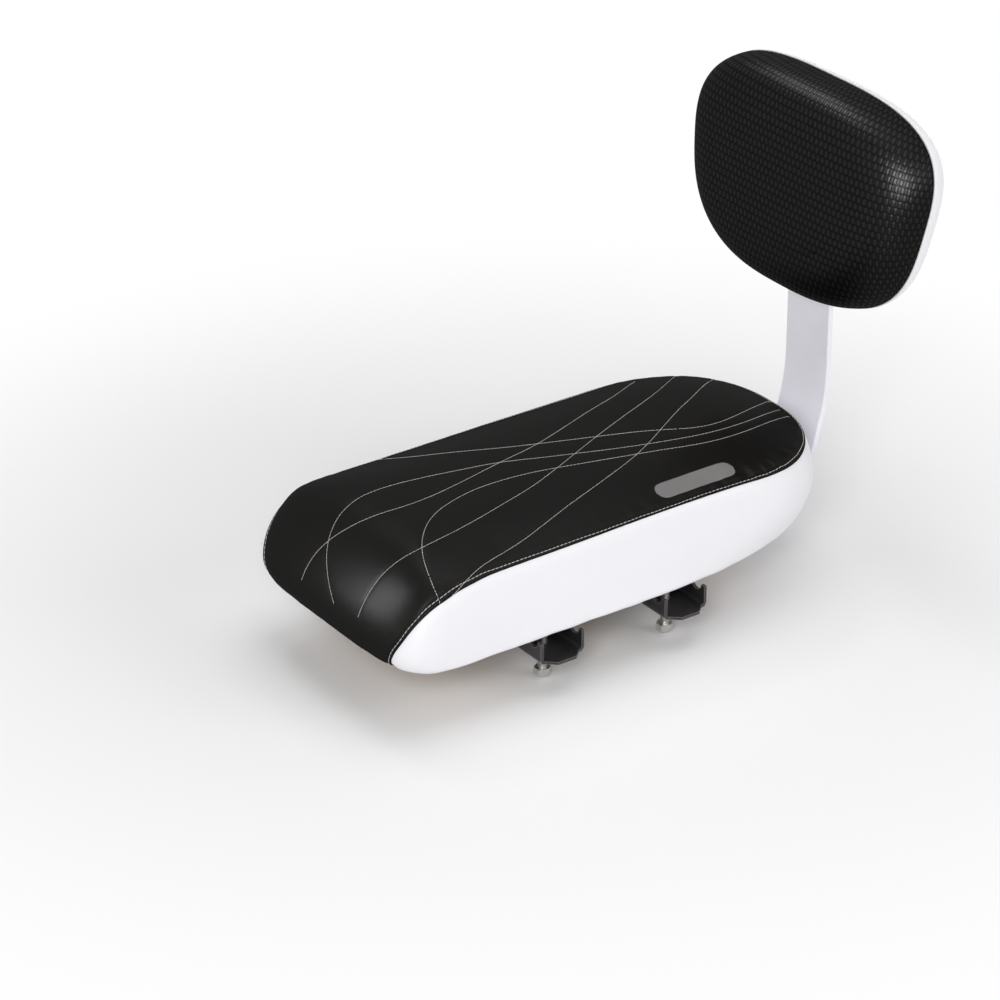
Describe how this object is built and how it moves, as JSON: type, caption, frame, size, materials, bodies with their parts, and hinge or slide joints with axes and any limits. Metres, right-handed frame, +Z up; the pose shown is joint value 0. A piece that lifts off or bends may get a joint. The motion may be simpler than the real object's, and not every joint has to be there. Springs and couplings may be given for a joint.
{
  "type": "bicycle rack cushion seat",
  "caption": "Padded passenger seat for a bicycle's rear rack, with a padded backrest on a bent flat bar and notched clamp strips that bolt it to the rack's rails.",
  "frame": {"origin": "middle of the seat's underside, in the plane that lies on the rack's rails", "axes": "+Z up, +Y to the backrest at the rear, +X to the seat's left side"},
  "size_m": [0.2184, 0.417, 0.3236],
  "materials": {
    "black_cover": "satin",
    "white_cover": "satin",
    "foam": "matte",
    "board": "matte",
    "white_shell": "gloss",
    "white_paint": "satin",
    "black_paint": "satin",
    "grey_badge": "matte",
    "packing": "matte",
    "zinc_steel": "satin"
  },
  "bodies": {
    "root": {"badge_patch": "grey_badge", "bent_bar": "white_paint", "front_clamp_plate": "black_paint", "front_left_bolt": "zinc_steel", "front_left_end_nut": "zinc_steel", "front_left_nut": "zinc_steel", "front_left_washer": "zinc_steel", "front_right_bolt": "zinc_steel", "front_right_end_nut": "zinc_steel", "front_right_nut": "zinc_steel", "front_right_washer": "zinc_steel", "hem_staple_1": "zinc_steel", "hem_staple_10": "zinc_steel", "hem_staple_11": "zinc_steel", "hem_staple_12": "zinc_steel", "hem_staple_2": "zinc_steel", "hem_staple_3": "zinc_steel", "hem_staple_4": "zinc_steel", "hem_staple_5": "zinc_steel", "hem_staple_6": "zinc_steel", "hem_staple_7": "zinc_steel", "hem_staple_8": "zinc_steel", "hem_staple_9": "zinc_steel", "leg_packing": "packing", "leg_screw_1": "zinc_steel", "leg_screw_2": "zinc_steel", "leg_screw_3": "zinc_steel", "leg_tee_nut_1": "zinc_steel", "leg_tee_nut_2": "zinc_steel", "leg_tee_nut_3": "zinc_steel", "rear_clamp_plate": "black_paint", "rear_left_bolt": "zinc_steel", "rear_left_end_nut": "zinc_steel", "rear_left_nut": "zinc_steel", "rear_left_washer": "zinc_steel", "rear_right_bolt": "zinc_steel", "rear_right_end_nut": "zinc_steel", "rear_right_nut": "zinc_steel", "rear_right_washer": "zinc_steel", "rest_block": "board", "rest_board": "board", "rest_cover": "black_cover", "rest_foam": "foam", "rest_screw_1": "zinc_steel", "rest_screw_2": "zinc_steel", "rest_shell": "white_shell", "rest_tee_nut_1": "zinc_steel", "rest_tee_nut_2": "zinc_steel", "seat_base_board": "board", "seat_foam": "foam", "seat_side_cover": "white_cover", "seat_top_cover": "black_cover", "shell_screw_1": "zinc_steel", "shell_screw_2": "zinc_steel", "shell_screw_3": "zinc_steel", "shell_screw_4": "zinc_steel"}
  },
  "joints": []
}
